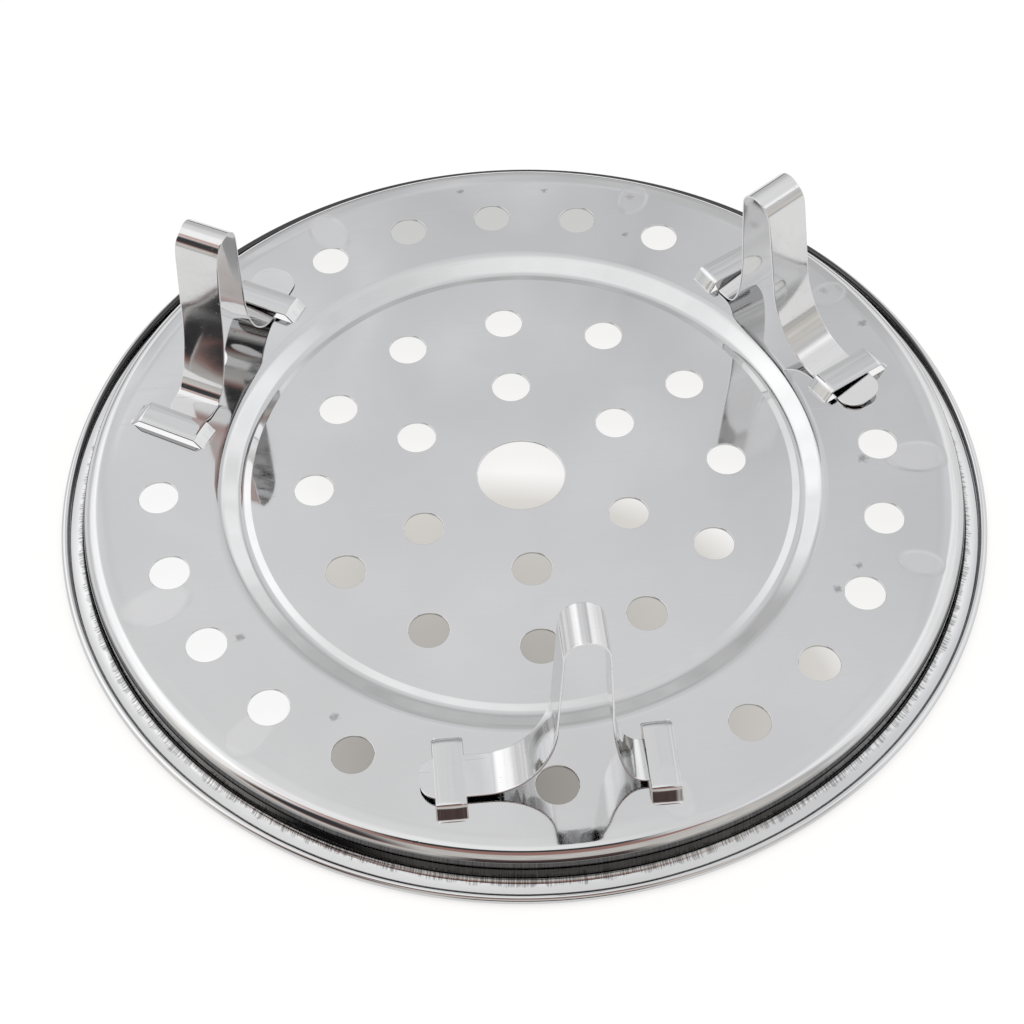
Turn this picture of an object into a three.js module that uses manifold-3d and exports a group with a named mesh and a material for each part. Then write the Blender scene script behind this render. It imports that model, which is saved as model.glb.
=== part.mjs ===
// Steaming rack: a dished stainless plate with a rolled rim, and three bent strip legs that slide
// under straps lanced out of the plate. It lies upside down on its rim flange, with its legs up.
// Millimetres, +Z up. The origin is the centre of the rim flange's flat face, at Z = 0.
import * as THREE from "three";
import { mergeVertices } from "three/addons/utils/BufferGeometryUtils.js";
import Module from "manifold-3d";

const wasm = await Module();
wasm.setup();

const degrees = THREE.MathUtils.degToRad;

// Plate: the rim, from the rolled edge inwards to the flat band that carries the legs.
const SHEET = 0.5; // thickness of the pressed plate
const RIM_RADIUS = 120; // outside of the rolled edge
const CURL_RADIUS = 0.75; // centre line of the rolled edge
const CURL_TURN = degrees(250); // how far the edge is rolled over
const FLANGE_WIDTH = 4.2; // from the foot of the wall to the middle of the curl
const WALL_FOOT_RADIUS = 1.4;
const WALL_FLARE = 1.7; // the wall's foot stands this much further out than its top
const DISH_DEPTH = 8.5; // from the flange up to the band
const SHOULDER_RADIUS = 2.8; // where the wall rolls over into the band

// Plate: the stiffening groove and the centre, which lies a little below the band.
const BAND_WIDTH = 35.9; // from the wall to the outer lip of the groove
const GROOVE_OUTER_SLOPE = 3.6; // widths of the groove's two slopes and of its floor
const GROOVE_FLOOR = 2.2;
const GROOVE_INNER_SLOPE = 2.2;
const GROOVE_DEPTH = 2.6; // below the band
const GROOVE_LIP_RADIUS = 1;
const GROOVE_FLOOR_RADIUS = 1.6;
const CENTRE_DROP = 1.7; // the centre below the band

// Steam holes: a centre hole, two rings in the centre, and bays of holes in the band between the legs.
const STEAM_HOLE_RADIUS = 5;
const CENTRE_HOLE_RADIUS = 11.2;
const INNER_RING_RADIUS = 30;
const INNER_RING_HOLES = 6;
const MIDDLE_RING_INSET = 16.1; // from the groove's inner lip
const MIDDLE_RING_HOLES = 12;
const BAND_RING_INSET = 20.7; // from the wall
const BAY_HOLES = 5;
const BAY_PITCH = degrees(15);

// Legs: spring strip, bent to a hairpin with a long foot and a short foot.
const STRIP = 0.5;
const STRIP_WIDTH = 11.6;
const LEG_HEIGHT = 51; // from the feet's lower face to the top of the crown
const CROWN_WIDTH = 10.5; // over both limbs, at the crown
const LONG_SPLAY = 1.4; // each limb's foot stands this much further out than its top
const SHORT_SPLAY = 0.8;
const LONG_BEND = [15.8, 23]; // width and height of the sweep from each limb into its foot
const SHORT_BEND = [7.2, 28];
const LONG_FOOT = 37.6; // from the crown's middle to each tip
const SHORT_FOOT = 20.8;
const TIP_RADIUS = 4.5;
const LEG_INSET = 24.5; // the legs' line, from the wall

// How each leg sits in its loose straps: its bearing round the plate, how far it is slid towards its
// short foot, shifted inwards, turned about Z, and how far it leans inwards.
const LEGS = [
  { name: "front_leg", bearing: degrees(-90), slide: 6.3, shift: 0, turn: degrees(0.4), lean: degrees(5.6) },
  { name: "right_leg", bearing: degrees(30), slide: 3.2, shift: 2.2, turn: degrees(1.1), lean: degrees(7.2) },
  { name: "left_leg", bearing: degrees(150), slide: 1.2, shift: 0.6, turn: degrees(3.6), lean: degrees(2.9) },
];

// Straps: two for each leg, lanced out of the band and raised over the leg's feet. A foot that leans by
// the play passes under them.
const LEAN_PLAY = degrees(8.2);
const SEAT_GAP = 0.3; // between a foot and what it touches
const STRAP_OFFSET = 24.4; // each side of the middle of the leg's place
const STRAP_WIDTH = 7;
const STRAP_SIDE_ROOM = 4.7; // beyond each edge of the strip, to the strap's end
const STRAP_RUN = 1.5; // length of each sloping end
const STRAP_BEND_RADIUS = 0.6;
const STRAP_ROOT = 0.6; // length of a strap's ends that is one with the plate
const LANCE_CLEARANCE = 0.15; // each side of a strap, in the slot that it was cut from

// Fineness of round shapes.
const PLATE_SIDES = 64;
const HOLE_SIDES = 16;
const PLATE_ARC_STEP = degrees(30);
const LEG_ARC_STEP = degrees(18);
const TIP_STEPS = 4;

// Heights and radii that follow from the driving dimensions; heights are of the sheet's centre line.
const FLANGE_Z = SHEET / 2;
const BAND_Z = FLANGE_Z + DISH_DEPTH;
const CENTRE_Z = BAND_Z - CENTRE_DROP;
const GROOVE_Z = BAND_Z - GROOVE_DEPTH;
const BAND_TOP = BAND_Z + SHEET / 2;
const CURL_MIDDLE = RIM_RADIUS - SHEET / 2 - CURL_RADIUS;
const WALL_FOOT = CURL_MIDDLE - FLANGE_WIDTH;
const WALL_TOP = WALL_FOOT - WALL_FLARE;
const GROOVE_OUTER = WALL_TOP - BAND_WIDTH;
const GROOVE_FLOOR_OUTER = GROOVE_OUTER - GROOVE_OUTER_SLOPE;
const GROOVE_FLOOR_INNER = GROOVE_FLOOR_OUTER - GROOVE_FLOOR;
const GROOVE_INNER = GROOVE_FLOOR_INNER - GROOVE_INNER_SLOPE;
const LEG_RADIUS = WALL_TOP - LEG_INSET;
const STRAP_LENGTH = STRIP_WIDTH + 2 * STRAP_SIDE_ROOM;
const STRAP_GAP = STRIP + STRIP_WIDTH * Math.sin(LEAN_PLAY) + 2 * SEAT_GAP;

// Points along an arc of an ellipse, from one angle to another.
function arc([x, y], [radiusX, radiusY], from, to, step) {
  const steps = Math.max(1, Math.ceil(Math.abs(to - from) / step));
  return Array.from({ length: steps + 1 }, (_, i) => {
    const angle = from + ((to - from) * i) / steps;
    return new THREE.Vector2(x + radiusX * Math.cos(angle), y + radiusY * Math.sin(angle));
  });
}

// A line through corners [x, y, radius], where a corner with a radius is rounded by a tangent arc.
function roundedLine(corners) {
  return corners.flatMap(([x, y, radius], i) => {
    const corner = new THREE.Vector2(x, y);
    if (!radius) return [corner];
    const towards = ([px, py]) => new THREE.Vector2(px, py).sub(corner).normalize();
    const back = towards(corners[i - 1]);
    const ahead = towards(corners[i + 1]);
    const halfAngle = Math.acos(back.dot(ahead)) / 2;
    const bisector = back.clone().add(ahead).normalize();
    const centre = corner.clone().addScaledVector(bisector, radius / Math.sin(halfAngle));
    const middle = bisector.clone().negate().angle();
    const halfTurn = (Math.PI / 2 - halfAngle) * Math.sign(back.cross(ahead));
    return arc(centre.toArray(), [radius, radius], middle + halfTurn, middle - halfTurn, PLATE_ARC_STEP);
  });
}

// The closed outline of a sheet of even thickness along a centre line.
function sheetOutline(line, thickness) {
  const side = (sign) =>
    line.map((point, i) => {
      const along = (a, b) => b.clone().sub(a).normalize();
      const before = i > 0 ? along(line[i - 1], point) : along(point, line[i + 1]);
      const after = i < line.length - 1 ? along(point, line[i + 1]) : before;
      const direction = before.clone().add(after).normalize();
      const normal = new THREE.Vector2(-direction.y, direction.x);
      const mitre = (sign * thickness) / 2 / direction.dot(after);
      return point.clone().addScaledVector(normal, mitre);
    });
  return [...side(-1), ...side(1).reverse()];
}

// A section in (x, z) drawn out to a width along y, centred on y = 0.
function drawnOut(outline, width) {
  const geometry = new THREE.ExtrudeGeometry(new THREE.Shape(outline), { depth: width, bevelEnabled: false });
  return geometry.rotateX(Math.PI / 2).translate(0, width / 2, 0);
}

// A closed geometry as a solid that can be cut and joined.
function solidOf(geometry) {
  geometry.deleteAttribute("normal");
  geometry.deleteAttribute("uv");
  const merged = mergeVertices(geometry);
  const vertProperties = merged.attributes.position.array;
  const triVerts = new Uint32Array(merged.index.array);
  return new wasm.Manifold(new wasm.Mesh({ numProp: 3, vertProperties, triVerts }));
}

// A cut and joined solid back as a geometry, with flat faces.
function geometryOf(solid) {
  const { vertProperties, triVerts } = solid.getMesh();
  const indexed = new THREE.BufferGeometry();
  indexed.setAttribute("position", new THREE.BufferAttribute(vertProperties, 3));
  indexed.setIndex(new THREE.BufferAttribute(triVerts, 1));
  const geometry = indexed.toNonIndexed();
  geometry.computeVertexNormals();
  return geometry;
}

// The plate before any cut: its section from the centre hole to the rolled edge, turned about Z.
function plateBlank() {
  const section = roundedLine([
    [CENTRE_HOLE_RADIUS, CENTRE_Z],
    [GROOVE_INNER, CENTRE_Z, GROOVE_LIP_RADIUS],
    [GROOVE_FLOOR_INNER, GROOVE_Z, GROOVE_FLOOR_RADIUS],
    [GROOVE_FLOOR_OUTER, GROOVE_Z, GROOVE_FLOOR_RADIUS],
    [GROOVE_OUTER, BAND_Z, GROOVE_LIP_RADIUS],
    [WALL_TOP, BAND_Z, SHOULDER_RADIUS],
    [WALL_FOOT, FLANGE_Z, WALL_FOOT_RADIUS],
    [CURL_MIDDLE, FLANGE_Z],
  ]);
  const curlMiddle = [CURL_MIDDLE, FLANGE_Z + CURL_RADIUS];
  const curlStart = -Math.PI / 2;
  const curl = arc(curlMiddle, [CURL_RADIUS, CURL_RADIUS], curlStart, curlStart + CURL_TURN, PLATE_ARC_STEP);
  const outline = sheetOutline([...section, ...curl.slice(1)], SHEET);
  return solidOf(new THREE.LatheGeometry([...outline, outline[0]], PLATE_SIDES).rotateX(Math.PI / 2));
}

// A punch for one steam hole, right through the plate, at a radius and a bearing.
function holePunch(radius, bearing) {
  const geometry = new THREE.CylinderGeometry(STEAM_HOLE_RADIUS, STEAM_HOLE_RADIUS, 2 * BAND_TOP, HOLE_SIDES);
  const punch = geometry.rotateX(Math.PI / 2).translate(radius, 0, BAND_Z);
  return solidOf(punch.rotateZ(bearing));
}

// The bearings of evenly spaced holes round a ring, the first one opposite the front leg.
function ringBearings(count) {
  return Array.from({ length: count }, (_, i) => Math.PI / 2 + (2 * Math.PI * i) / count);
}

// The bearings of the band's holes: one under each leg, and a bay of holes between each two legs.
function bandBearings() {
  return LEGS.flatMap(({ bearing }) => {
    const bay = Array.from({ length: BAY_HOLES }, (_, i) => (i - (BAY_HOLES - 1) / 2) * BAY_PITCH);
    return [bearing, ...bay.map((offset) => bearing + Math.PI / LEGS.length + offset)];
  });
}

// Every steam hole's punch.
function holePunches() {
  const middleRadius = GROOVE_INNER - MIDDLE_RING_INSET;
  const bandRadius = WALL_TOP - BAND_RING_INSET;
  return [
    ...ringBearings(INNER_RING_HOLES).map((bearing) => holePunch(INNER_RING_RADIUS, bearing)),
    ...ringBearings(MIDDLE_RING_HOLES).map((bearing) => holePunch(middleRadius, bearing)),
    ...bandBearings().map((bearing) => holePunch(bandRadius, bearing)),
  ];
}

// Where a strap lies, in the leg's own frame: x outwards, y round the plate.
function strapPlace(geometry, side, bearing) {
  return solidOf(geometry.translate(LEG_RADIUS, side * STRAP_OFFSET, 0).rotateZ(bearing));
}

// The slot that a strap was cut from.
function strapSlot(side, bearing) {
  const width = STRAP_WIDTH + 2 * LANCE_CLEARANCE;
  const slot = new THREE.BoxGeometry(STRAP_LENGTH, width, 2 * SHEET).translate(0, 0, BAND_Z);
  return strapPlace(slot, side, bearing);
}

// A strap: flat over the foot, with sloping ends that run back into the plate.
function strap(side, bearing) {
  const end = STRAP_LENGTH / 2;
  const topZ = BAND_TOP + STRAP_GAP + SHEET / 2;
  const line = roundedLine([
    [-end - STRAP_ROOT, BAND_Z],
    [-end, BAND_Z, STRAP_BEND_RADIUS],
    [STRAP_RUN - end, topZ, STRAP_BEND_RADIUS],
    [end - STRAP_RUN, topZ, STRAP_BEND_RADIUS],
    [end, BAND_Z, STRAP_BEND_RADIUS],
    [end + STRAP_ROOT, BAND_Z],
  ]);
  return strapPlace(drawnOut(sheetOutline(line, SHEET), STRAP_WIDTH), side, bearing);
}

// The plate: the blank, less its holes and slots, with the straps raised out of it.
function plateGeometry() {
  const places = LEGS.flatMap(({ bearing }) => [-1, 1].map((side) => [side, bearing]));
  const cuts = [...holePunches(), ...places.map((place) => strapSlot(...place))];
  const pierced = cuts.reduce((plate, cut) => plate.subtract(cut), plateBlank());
  return geometryOf(places.reduce((plate, place) => plate.add(strap(...place)), pierced));
}

// The sweep from a limb into a foot, on the side that the sign gives, from the limb outwards.
function footBend(side, limbFoot, [width, height]) {
  const middle = [side * (limbFoot + width), STRIP / 2 + height];
  return arc(middle, [-side * width, -height], 0, Math.PI / 2, LEG_ARC_STEP);
}

// A leg in its own frame: x across the strip, y along the feet towards the short one, feet on z = 0.
function legGeometry() {
  const limbTop = (CROWN_WIDTH - STRIP) / 2;
  const crownMiddle = [0, LEG_HEIGHT - STRIP / 2 - limbTop];
  const line = [
    new THREE.Vector2(-LONG_FOOT, STRIP / 2),
    ...footBend(-1, limbTop + LONG_SPLAY, LONG_BEND).reverse(),
    ...arc(crownMiddle, [limbTop, limbTop], Math.PI, 0, LEG_ARC_STEP),
    ...footBend(1, limbTop + SHORT_SPLAY, SHORT_BEND),
    new THREE.Vector2(SHORT_FOOT, STRIP / 2),
  ];
  const strip = solidOf(drawnOut(sheetOutline(line, STRIP), STRIP_WIDTH));
  return geometryOf(strip.intersect(stripBlank())).rotateZ(Math.PI / 2);
}

// The strip's plan outline with rounded tips, as tall as a leg.
function stripBlank() {
  const half = STRIP_WIDTH / 2;
  const plan = new THREE.Shape();
  plan.moveTo(-LONG_FOOT + TIP_RADIUS, -half);
  plan.lineTo(SHORT_FOOT - TIP_RADIUS, -half);
  plan.absarc(SHORT_FOOT - TIP_RADIUS, TIP_RADIUS - half, TIP_RADIUS, -Math.PI / 2, 0);
  plan.absarc(SHORT_FOOT - TIP_RADIUS, half - TIP_RADIUS, TIP_RADIUS, 0, Math.PI / 2);
  plan.absarc(TIP_RADIUS - LONG_FOOT, half - TIP_RADIUS, TIP_RADIUS, Math.PI / 2, Math.PI);
  plan.absarc(TIP_RADIUS - LONG_FOOT, TIP_RADIUS - half, TIP_RADIUS, Math.PI, 1.5 * Math.PI);
  const drawing = { depth: 2 * LEG_HEIGHT, bevelEnabled: false, curveSegments: TIP_STEPS };
  return solidOf(new THREE.ExtrudeGeometry(plan, drawing).translate(0, 0, -LEG_HEIGHT / 2));
}

// A bright stainless piece with its own material.
function steelMesh(name, geometry, color, roughness) {
  const material = new THREE.MeshStandardMaterial({ color, roughness, metalness: 1 });
  const mesh = new THREE.Mesh(geometry, material);
  mesh.name = name;
  return mesh;
}

// A leg in its place: turned to its bearing, shifted, turned and slid in its straps, and leaning inwards.
function placedLeg({ name, bearing, slide, shift, turn, lean }) {
  const mesh = steelMesh(name, legGeometry(), 0xcfcfd0, 0.12);
  mesh.position.y = slide;
  mesh.rotation.y = -lean;
  const seat = new THREE.Group();
  const lift = (STRIP_WIDTH / 2) * Math.sin(lean);
  seat.position.set(LEG_RADIUS - shift, 0, BAND_TOP + SEAT_GAP + lift);
  seat.rotation.z = turn;
  const place = new THREE.Group();
  place.rotation.z = bearing;
  return place.add(seat.add(mesh));
}

const rack = new THREE.Group();
rack.add(steelMesh("plate", plateGeometry(), 0xc9c9cb, 0.16));
rack.add(...LEGS.map(placedLeg));

export default rack;
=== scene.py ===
# Steaming rack of bright stainless steel, lying upside down on its rim with its three legs in the air.
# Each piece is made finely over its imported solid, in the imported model's own frame, in metres.
import math

import bpy
from mathutils import Matrix, Vector


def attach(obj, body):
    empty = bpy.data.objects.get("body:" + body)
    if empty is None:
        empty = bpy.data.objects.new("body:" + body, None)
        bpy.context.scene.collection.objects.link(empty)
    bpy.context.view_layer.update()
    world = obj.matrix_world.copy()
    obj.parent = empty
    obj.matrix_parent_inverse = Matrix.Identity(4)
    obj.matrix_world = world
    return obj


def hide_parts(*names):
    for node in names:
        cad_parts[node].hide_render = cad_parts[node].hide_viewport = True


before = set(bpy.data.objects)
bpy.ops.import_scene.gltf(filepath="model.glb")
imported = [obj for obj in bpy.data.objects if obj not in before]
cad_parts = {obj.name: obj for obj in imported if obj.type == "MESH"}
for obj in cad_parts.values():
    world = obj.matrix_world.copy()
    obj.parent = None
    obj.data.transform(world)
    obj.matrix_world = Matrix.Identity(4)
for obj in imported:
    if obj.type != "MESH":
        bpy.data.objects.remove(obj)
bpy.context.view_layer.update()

# Plate, first its sheet
# A round blank of half-millimetre stainless sheet, drawn in a press to a shallow dish with a stiffening
# groove. Its wall is turned out at the foot to a flange, and the flange's edge is rolled over.
MM = 0.001
SHEET = 0.5 * MM
RIM_RADIUS = 118.9 * MM
RIM_SHIFT = Vector((0.6 * MM, 1.1 * MM, 0))
CURL_RADIUS = 0.85 * MM
CURL_TURN = math.radians(250)
FLANGE_Z = SHEET / 2 + 0.002 * MM
BAND_Z = FLANGE_Z + 8.5 * MM
CENTRE_Z = BAND_Z - 1.7 * MM
GROOVE_Z = BAND_Z - 2.05 * MM
BAND_TOP = BAND_Z + SHEET / 2
CENTRE_TOP = CENTRE_Z + SHEET / 2
CURL_MIDDLE = RIM_RADIUS - SHEET / 2 - CURL_RADIUS
WALL_FOOT = CURL_MIDDLE - 5.1 * MM
WALL_TOP = WALL_FOOT - 0.7 * MM
GROOVE_OUTER = WALL_TOP - 34.8 * MM
GROOVE_FLOOR_OUTER = GROOVE_OUTER - 5 * MM
GROOVE_FLOOR_INNER = GROOVE_FLOOR_OUTER - 1.1 * MM
GROOVE_INNER = GROOVE_FLOOR_INNER - 1.9 * MM
BAND_TURN = WALL_TOP - 5.9 * MM
BAND_DIP = 0.24 * MM
FLANGE_FALL = 0.45 * MM
CENTRE_HOLE_RADIUS = 11.2 * MM
GROOVE_BENDS = (0.6 * MM, 1.5 * MM, 4 * MM, 6 * MM)
BAND_BEND = 50 * MM
SHOULDER_BEND = 3.8 * MM
WALL_FOOT_BEND = 2 * MM
HOLDING = 0.4 * MM
PUNCH_ROLL = 0.2 * MM
RAW_EDGE_TURN = math.radians(70)


def arc_points(centre, radius, start, end, step):
    """Points along a round arc, from one angle to another."""
    count = max(3, math.ceil(abs(end - start) / step))
    turns = [start + (end - start) * i / count for i in range(count + 1)]
    return [Vector((centre[0] + radius * math.cos(t), centre[1] + radius * math.sin(t))) for t in turns]


def rounded_line(corners, step):
    """A line through corners (x, z, radius), where a corner with a radius is rounded by a tangent arc
    and has a holding point just before and after it, so that flat faces shade flat."""
    line = []
    for i, (x, z, radius) in enumerate(corners):
        corner = Vector((x, z))
        if not radius:
            line.append(corner)
            continue
        back = (Vector(corners[i - 1][:2]) - corner).normalized()
        ahead = (Vector(corners[i + 1][:2]) - corner).normalized()
        half = back.angle(ahead) / 2
        bisector = (back + ahead).normalized()
        centre = corner + bisector * (radius / math.sin(half))
        middle = math.atan2(-bisector.y, -bisector.x)
        turn = math.copysign(math.pi / 2 - half, back.cross(ahead))
        bend = arc_points(centre, radius, middle + turn, middle - turn, step)
        room_before = (Vector(corners[i - 1][:2]) - bend[0]).length
        room_after = (Vector(corners[i + 1][:2]) - bend[-1]).length
        if room_before > 3 * HOLDING:
            line.append(bend[0] + back * HOLDING)
        line += bend
        if room_after > 3 * HOLDING:
            line.append(bend[-1] + ahead * HOLDING)
    return line


def sheet_faces(line, gauge):
    """The two faces of a sheet of even gauge along a centre line, as (right of the line, left of it)."""
    faces = ([], [])
    for i, point in enumerate(line):
        before = (point - line[i - 1]).normalized() if i > 0 else (line[1] - point).normalized()
        after = (line[i + 1] - point).normalized() if i < len(line) - 1 else before
        along = (before + after).normalized()
        mitre = Vector((-along.y, along.x)) * (gauge / 2 / along.dot(after))
        faces[0].append(point - mitre)
        faces[1].append(point + mitre)
    return faces


def points_mesh(name, points, **numbers):
    """A mesh of loose points in order, with a number of each name stored on every point."""
    mesh = bpy.data.meshes.new(name)
    mesh.from_pydata(points, [], [])
    for key, values in numbers.items():
        mesh.attributes.new(key, "FLOAT", "POINT").data.foreach_set("value", values)
    return mesh


BEND_STEP = math.radians(5)
MERGE_WITHIN = 0.002 * MM
pressed_line = rounded_line(
    [
        (CENTRE_HOLE_RADIUS, CENTRE_Z, 0),
        (GROOVE_INNER, CENTRE_Z, GROOVE_BENDS[0]),
        (GROOVE_FLOOR_INNER, GROOVE_Z, GROOVE_BENDS[1]),
        (GROOVE_FLOOR_OUTER, GROOVE_Z, GROOVE_BENDS[2]),
        (GROOVE_OUTER, BAND_Z, GROOVE_BENDS[3]),
        (BAND_TURN, BAND_Z, BAND_BEND),
        (WALL_TOP, BAND_Z - BAND_DIP, SHOULDER_BEND),
        (WALL_FOOT, FLANGE_Z + FLANGE_FALL, WALL_FOOT_BEND),
        (CURL_MIDDLE, FLANGE_Z, 0),
    ],
    BEND_STEP,
)
curl_centre = (CURL_MIDDLE, FLANGE_Z + CURL_RADIUS)
curl_start = -math.pi / 2
curl_line = arc_points(curl_centre, CURL_RADIUS, curl_start, curl_start + CURL_TURN, 2 * BEND_STEP)
sheet_line = pressed_line + curl_line[1:]
under_face, upper_face = sheet_faces(sheet_line, SHEET)

# The raw edge of the rolled rim is ragged: a point's share of that grows towards the end of the curl.
ragged_count = round(RAW_EDGE_TURN / (2 * BEND_STEP))
first_ragged = len(sheet_line) - 1 - ragged_count
ragged_share = [max(0, i - first_ragged) / ragged_count for i in range(len(sheet_line))]

# The punched lip of the centre hole is drawn down a little on the side that the punch came from.
lip_centre = (CENTRE_HOLE_RADIUS + PUNCH_ROLL, CENTRE_TOP - PUNCH_ROLL)
punched_lip = arc_points(lip_centre, PUNCH_ROLL, math.pi / 2, math.pi, math.radians(30))
section_points = under_face + upper_face[:0:-1] + punched_lip
section_shares = ragged_share + ragged_share[:0:-1] + [0] * len(punched_lip)
plate_section = points_mesh(
    "plate_section", [(p.x, 0, p.y) for p in section_points], ragged=section_shares
)


def add(tree, kind, inputs=None, **settings):
    """A new node with its settings, whose inputs are given as values or as other nodes' sockets."""
    node = tree.nodes.new(kind)
    for name, value in settings.items():
        setattr(node, name, value)
    for key, value in (inputs or {}).items():
        if isinstance(value, bpy.types.NodeSocket):
            tree.links.new(value, node.inputs[key])
        else:
            node.inputs[key].default_value = value
    return node


def calc(tree, operation, *values):
    """A sum on sockets or numbers."""
    return add(tree, "ShaderNodeMath", dict(enumerate(values)), operation=operation).outputs[0]


def vector(tree, operation, *places):
    """A sum on places or directions, or the length that comes of it."""
    node = add(tree, "ShaderNodeVectorMath", dict(enumerate(places)), operation=operation)
    return node.outputs["Value" if operation in ("LENGTH", "DISTANCE") else "Vector"]


def scaled(tree, direction, length):
    """A direction made so much longer."""
    return add(tree, "ShaderNodeVectorMath", {0: direction, "Scale": length}, operation="SCALE").outputs[0]


def new_tree(name, kind, inputs, outputs):
    """An empty node group with named inputs and outputs, and its two end nodes."""
    tree = bpy.data.node_groups.new(name, kind)
    for side, sockets in (("INPUT", inputs), ("OUTPUT", outputs)):
        for socket_name, socket_kind in sockets.items():
            tree.interface.new_socket(name=socket_name, in_out=side, socket_type="NodeSocket" + socket_kind)
    return tree, tree.nodes.new("NodeGroupInput").outputs, tree.nodes.new("NodeGroupOutput").inputs


def polar(tree, radius, angle, height):
    """A place at a radius and an angle about Z, at a height."""
    x = calc(tree, "MULTIPLY", radius, calc(tree, "COSINE", angle))
    y = calc(tree, "MULTIPLY", radius, calc(tree, "SINE", angle))
    return add(tree, "ShaderNodeCombineXYZ", {0: x, 1: y, 2: height}).outputs[0]


def sample(tree, geometry, value, index, kind):
    """A value at one point of a geometry."""
    node = add(tree, "GeometryNodeSampleIndex", {0: geometry, 2: index}, data_type=kind, clamp=True)
    tree.links.new(value, node.inputs[1])
    return node.outputs[0]


def stored(tree, name):
    """A number that the points of a mesh hold by name."""
    return add(tree, "GeometryNodeInputNamedAttribute", {0: name}, data_type="FLOAT").outputs[0]


def grid_rows(tree, across, along):
    """A grid of so many rows of points, and each point's row and place in the row."""
    grid = add(tree, "GeometryNodeMeshGrid", {0: 1.0, 1: 1.0, 2: across, 3: along}).outputs[0]
    index = add(tree, "GeometryNodeInputIndex").outputs[0]
    row = calc(tree, "FLOOR", calc(tree, "DIVIDE", index, along))
    return grid, row, calc(tree, "SUBTRACT", index, calc(tree, "MULTIPLY", row, along))


# A closed section, given as points in the XZ plane, turned about Z into a solid.
turned, t_in, t_out = new_tree(
    "Turned section",
    "GeometryNodeTree",
    {
        "Section": "Geometry",
        "Sides": "Int",
        "Edge wave": "Float",
        "Wave seed": "Float",
        "Rim shift": "Vector",
        "Shift from": "Float",
    },
    {"Mesh": "Geometry"},
)
point_count = add(turned, "GeometryNodeAttributeDomainSize", {0: t_in["Section"]}).outputs[0]
row_length = calc(turned, "ADD", t_in["Sides"], 1)
grid, ring, step = grid_rows(turned, calc(turned, "ADD", point_count, 1), row_length)
ring = calc(turned, "MODULO", ring, point_count)
position = add(turned, "GeometryNodeInputPosition").outputs[0]
ragged = stored(turned, "ragged")
section_place = sample(turned, t_in["Section"], position, ring, "FLOAT_VECTOR")
section_share = sample(turned, t_in["Section"], ragged, ring, "FLOAT")
section_xyz = add(turned, "ShaderNodeSeparateXYZ", {0: section_place}).outputs
angle = calc(turned, "MULTIPLY", step, calc(turned, "DIVIDE", 2 * math.pi, t_in["Sides"]))
wave_place = polar(turned, 1.0, angle, 0.0)
wave_noise = add(
    turned,
    "ShaderNodeTexNoise",
    {"Vector": wave_place, "W": t_in["Wave seed"], "Scale": 14.0, "Detail": 4.0, "Roughness": 0.65},
    noise_dimensions="4D",
).outputs[0]
wave = calc(turned, "MULTIPLY", calc(turned, "SUBTRACT", wave_noise, 0.5), t_in["Edge wave"])
height = calc(turned, "ADD", section_xyz[2], calc(turned, "MULTIPLY", wave, section_share))
turned_place = polar(turned, section_xyz[0], angle, height)
shifted = calc(turned, "GREATER_THAN", section_xyz[0], t_in["Shift from"])
turned_place = vector(turned, "ADD", turned_place, scaled(turned, t_in["Rim shift"], shifted))
placed = add(turned, "GeometryNodeSetPosition", {0: grid, 2: turned_place}).outputs[0]
merged = add(turned, "GeometryNodeMergeByDistance", {0: placed, 2: MERGE_WITHIN}).outputs[0]
outward = add(turned, "GeometryNodeFlipFaces", {0: merged}).outputs[0]
turned.links.new(outward, t_out["Mesh"])

# A strip of sheet that follows a path in the YZ plane. Its width lies along X and can change on the way.
strip_tree, s_in, s_out = new_tree(
    "Bent strip",
    "GeometryNodeTree",
    {"Path": "Geometry", "Edge section": "Object", "Steel": "Material"},
    {"Mesh": "Geometry"},
)
edge_section = add(strip_tree, "GeometryNodeObjectInfo", {0: s_in["Edge section"]}).outputs["Geometry"]
station_count = add(strip_tree, "GeometryNodeAttributeDomainSize", {0: s_in["Path"]}).outputs[0]
edge_count = add(strip_tree, "GeometryNodeAttributeDomainSize", {0: edge_section}).outputs[0]
grid, station, edge_step = grid_rows(strip_tree, station_count, calc(strip_tree, "ADD", edge_count, 1))
edge_step = calc(strip_tree, "MODULO", edge_step, edge_count)
position = add(strip_tree, "GeometryNodeInputPosition").outputs[0]
width_read = stored(strip_tree, "half_width")
solid_read = stored(strip_tree, "solid")
path = s_in["Path"]
station_place = sample(strip_tree, path, position, station, "FLOAT_VECTOR")
last_place = sample(strip_tree, path, position, calc(strip_tree, "SUBTRACT", station, 1), "FLOAT_VECTOR")
next_place = sample(strip_tree, path, position, calc(strip_tree, "ADD", station, 1), "FLOAT_VECTOR")
half_width = sample(strip_tree, path, width_read, station, "FLOAT")
solid = sample(strip_tree, path, solid_read, station, "FLOAT")
edge_place = sample(strip_tree, edge_section, position, edge_step, "FLOAT_VECTOR")
edge_xyz = add(strip_tree, "ShaderNodeSeparateXYZ", {0: edge_place}).outputs
onward = vector(strip_tree, "NORMALIZE", vector(strip_tree, "SUBTRACT", next_place, last_place))
across_way = (1, 0, 0)
face_way = vector(strip_tree, "CROSS_PRODUCT", across_way, onward)
sideways = calc(strip_tree, "MULTIPLY_ADD", edge_xyz[0], half_width, edge_xyz[1])
sideways = calc(strip_tree, "MULTIPLY", sideways, solid)
outwards = calc(strip_tree, "MULTIPLY", edge_xyz[2], solid)
side_shift = add(strip_tree, "ShaderNodeCombineXYZ", {0: sideways}).outputs[0]
shift = vector(strip_tree, "ADD", side_shift, scaled(strip_tree, face_way, outwards))
strip_place = vector(strip_tree, "ADD", station_place, shift)
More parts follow.
